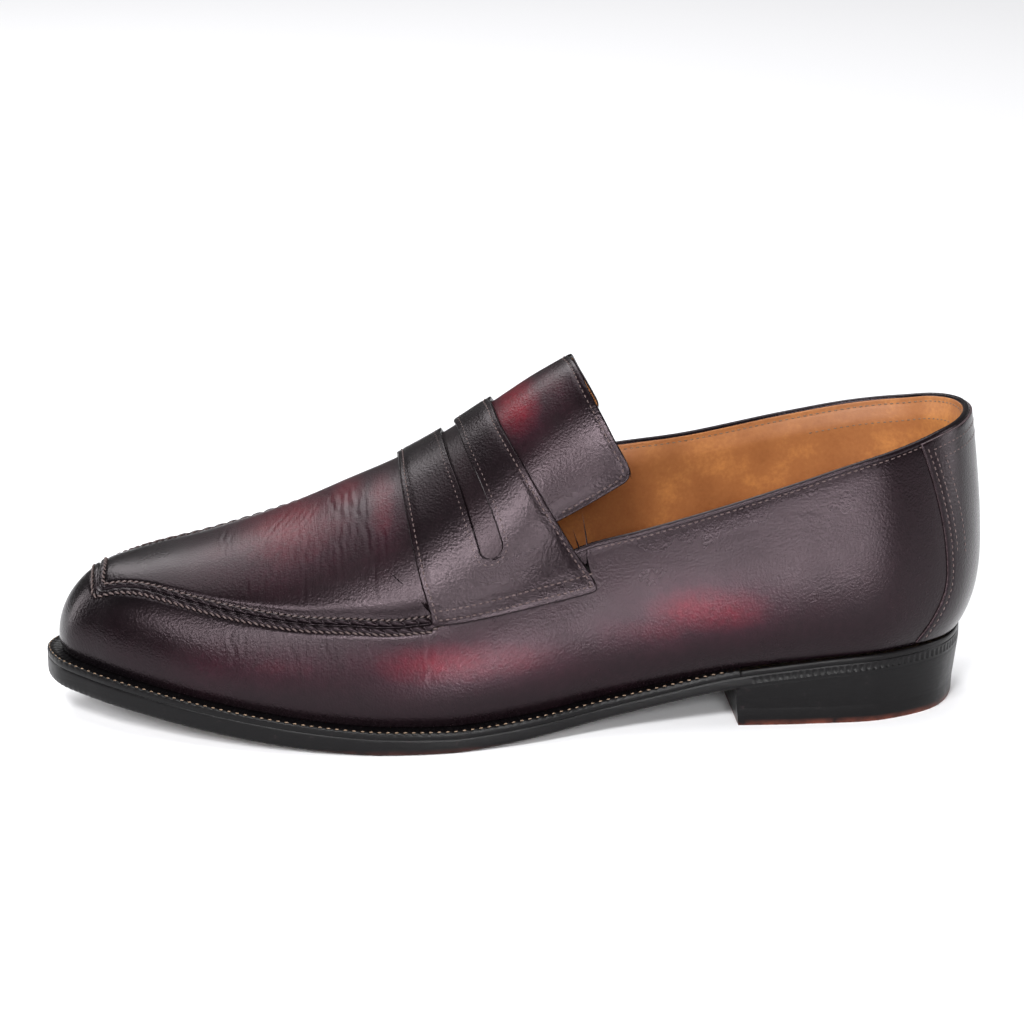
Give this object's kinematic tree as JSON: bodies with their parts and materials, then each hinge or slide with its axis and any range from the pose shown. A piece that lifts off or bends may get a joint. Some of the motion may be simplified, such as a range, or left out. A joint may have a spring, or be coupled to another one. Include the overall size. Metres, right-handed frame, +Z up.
{
  "type": "penny loafer",
  "caption": "Left men's penny loafer in dark burgundy leather with a saddle strap, moccasin apron seam, hinged tongue, welted sole and stacked heel.",
  "frame": {"origin": "on the ground, in the middle of the shoe's overall length and width", "axes": "toe towards -X, heel towards +X, outer side of the foot towards -Y, inner side towards +Y, up is +Z"},
  "size_m": [0.3088, 0.1006, 0.1144],
  "materials": {
    "burgundy_calf": "polished box calf, near-black burgundy with hand-rubbed patina",
    "strap_calf": "polished box calf, burnished almost black",
    "tan_lining": "smooth cognac lining leather",
    "black_edge": "edge-inked and waxed sole leather, satin",
    "insole_leather": "undyed vegetable-tanned leather",
    "cork": "pressed cork",
    "stiffener_board": "bonded leatherboard",
    "spring_steel": "stamped strip",
    "brass": "drawn pins",
    "thread": "waxed polyester thread"
  },
  "bodies": {
    "shoe": {"outsole": "black_edge", "welt": "black_edge", "heel_rand": "black_edge", "welt_thread": "thread", "insole": "insole_leather", "sock_liner": "tan_lining", "cork_filler": "cork", "shank": "spring_steel", "heel_lift_1": "black_edge", "heel_lift_2": "black_edge", "heel_lift_3": "black_edge", "heel_top_piece": "black_edge", "top_piece_nail_1": "brass", "top_piece_nail_2": "brass", "top_piece_nail_3": "brass", "top_piece_nail_4": "brass", "top_piece_nail_5": "brass", "top_piece_nail_6": "brass", "top_piece_nail_7": "brass", "top_piece_nail_8": "brass", "vamp_and_quarters": "burgundy_calf", "apron": "burgundy_calf", "apron_seam_bead": "burgundy_calf", "apron_thread_lower": "thread", "apron_thread_upper": "thread", "saddle_strap": "strap_calf", "strap_thread": "thread", "slot_thread": "thread", "heel_counter_cover": "strap_calf", "topline_binding": "strap_calf", "topline_thread": "thread", "quarter_lining_lateral": "tan_lining", "quarter_lining_medial": "tan_lining", "vamp_lining": "tan_lining", "heel_grip": "tan_lining", "heel_stiffener": "stiffener_board", "toe_puff": "stiffener_board"},
    "tongue": {"tongue": "burgundy_calf", "tongue_lining": "tan_lining"}
  },
  "joints": [
    {"name": "tongue_flex", "type": "hinge", "parent": "shoe", "child": "tongue", "pos_m": [-0.00644, 0.01025, 0.0978], "axis": [0, -1, 0], "range_deg": [-4, 32], "stiffness_Nm_per_rad": 0.12}
  ]
}
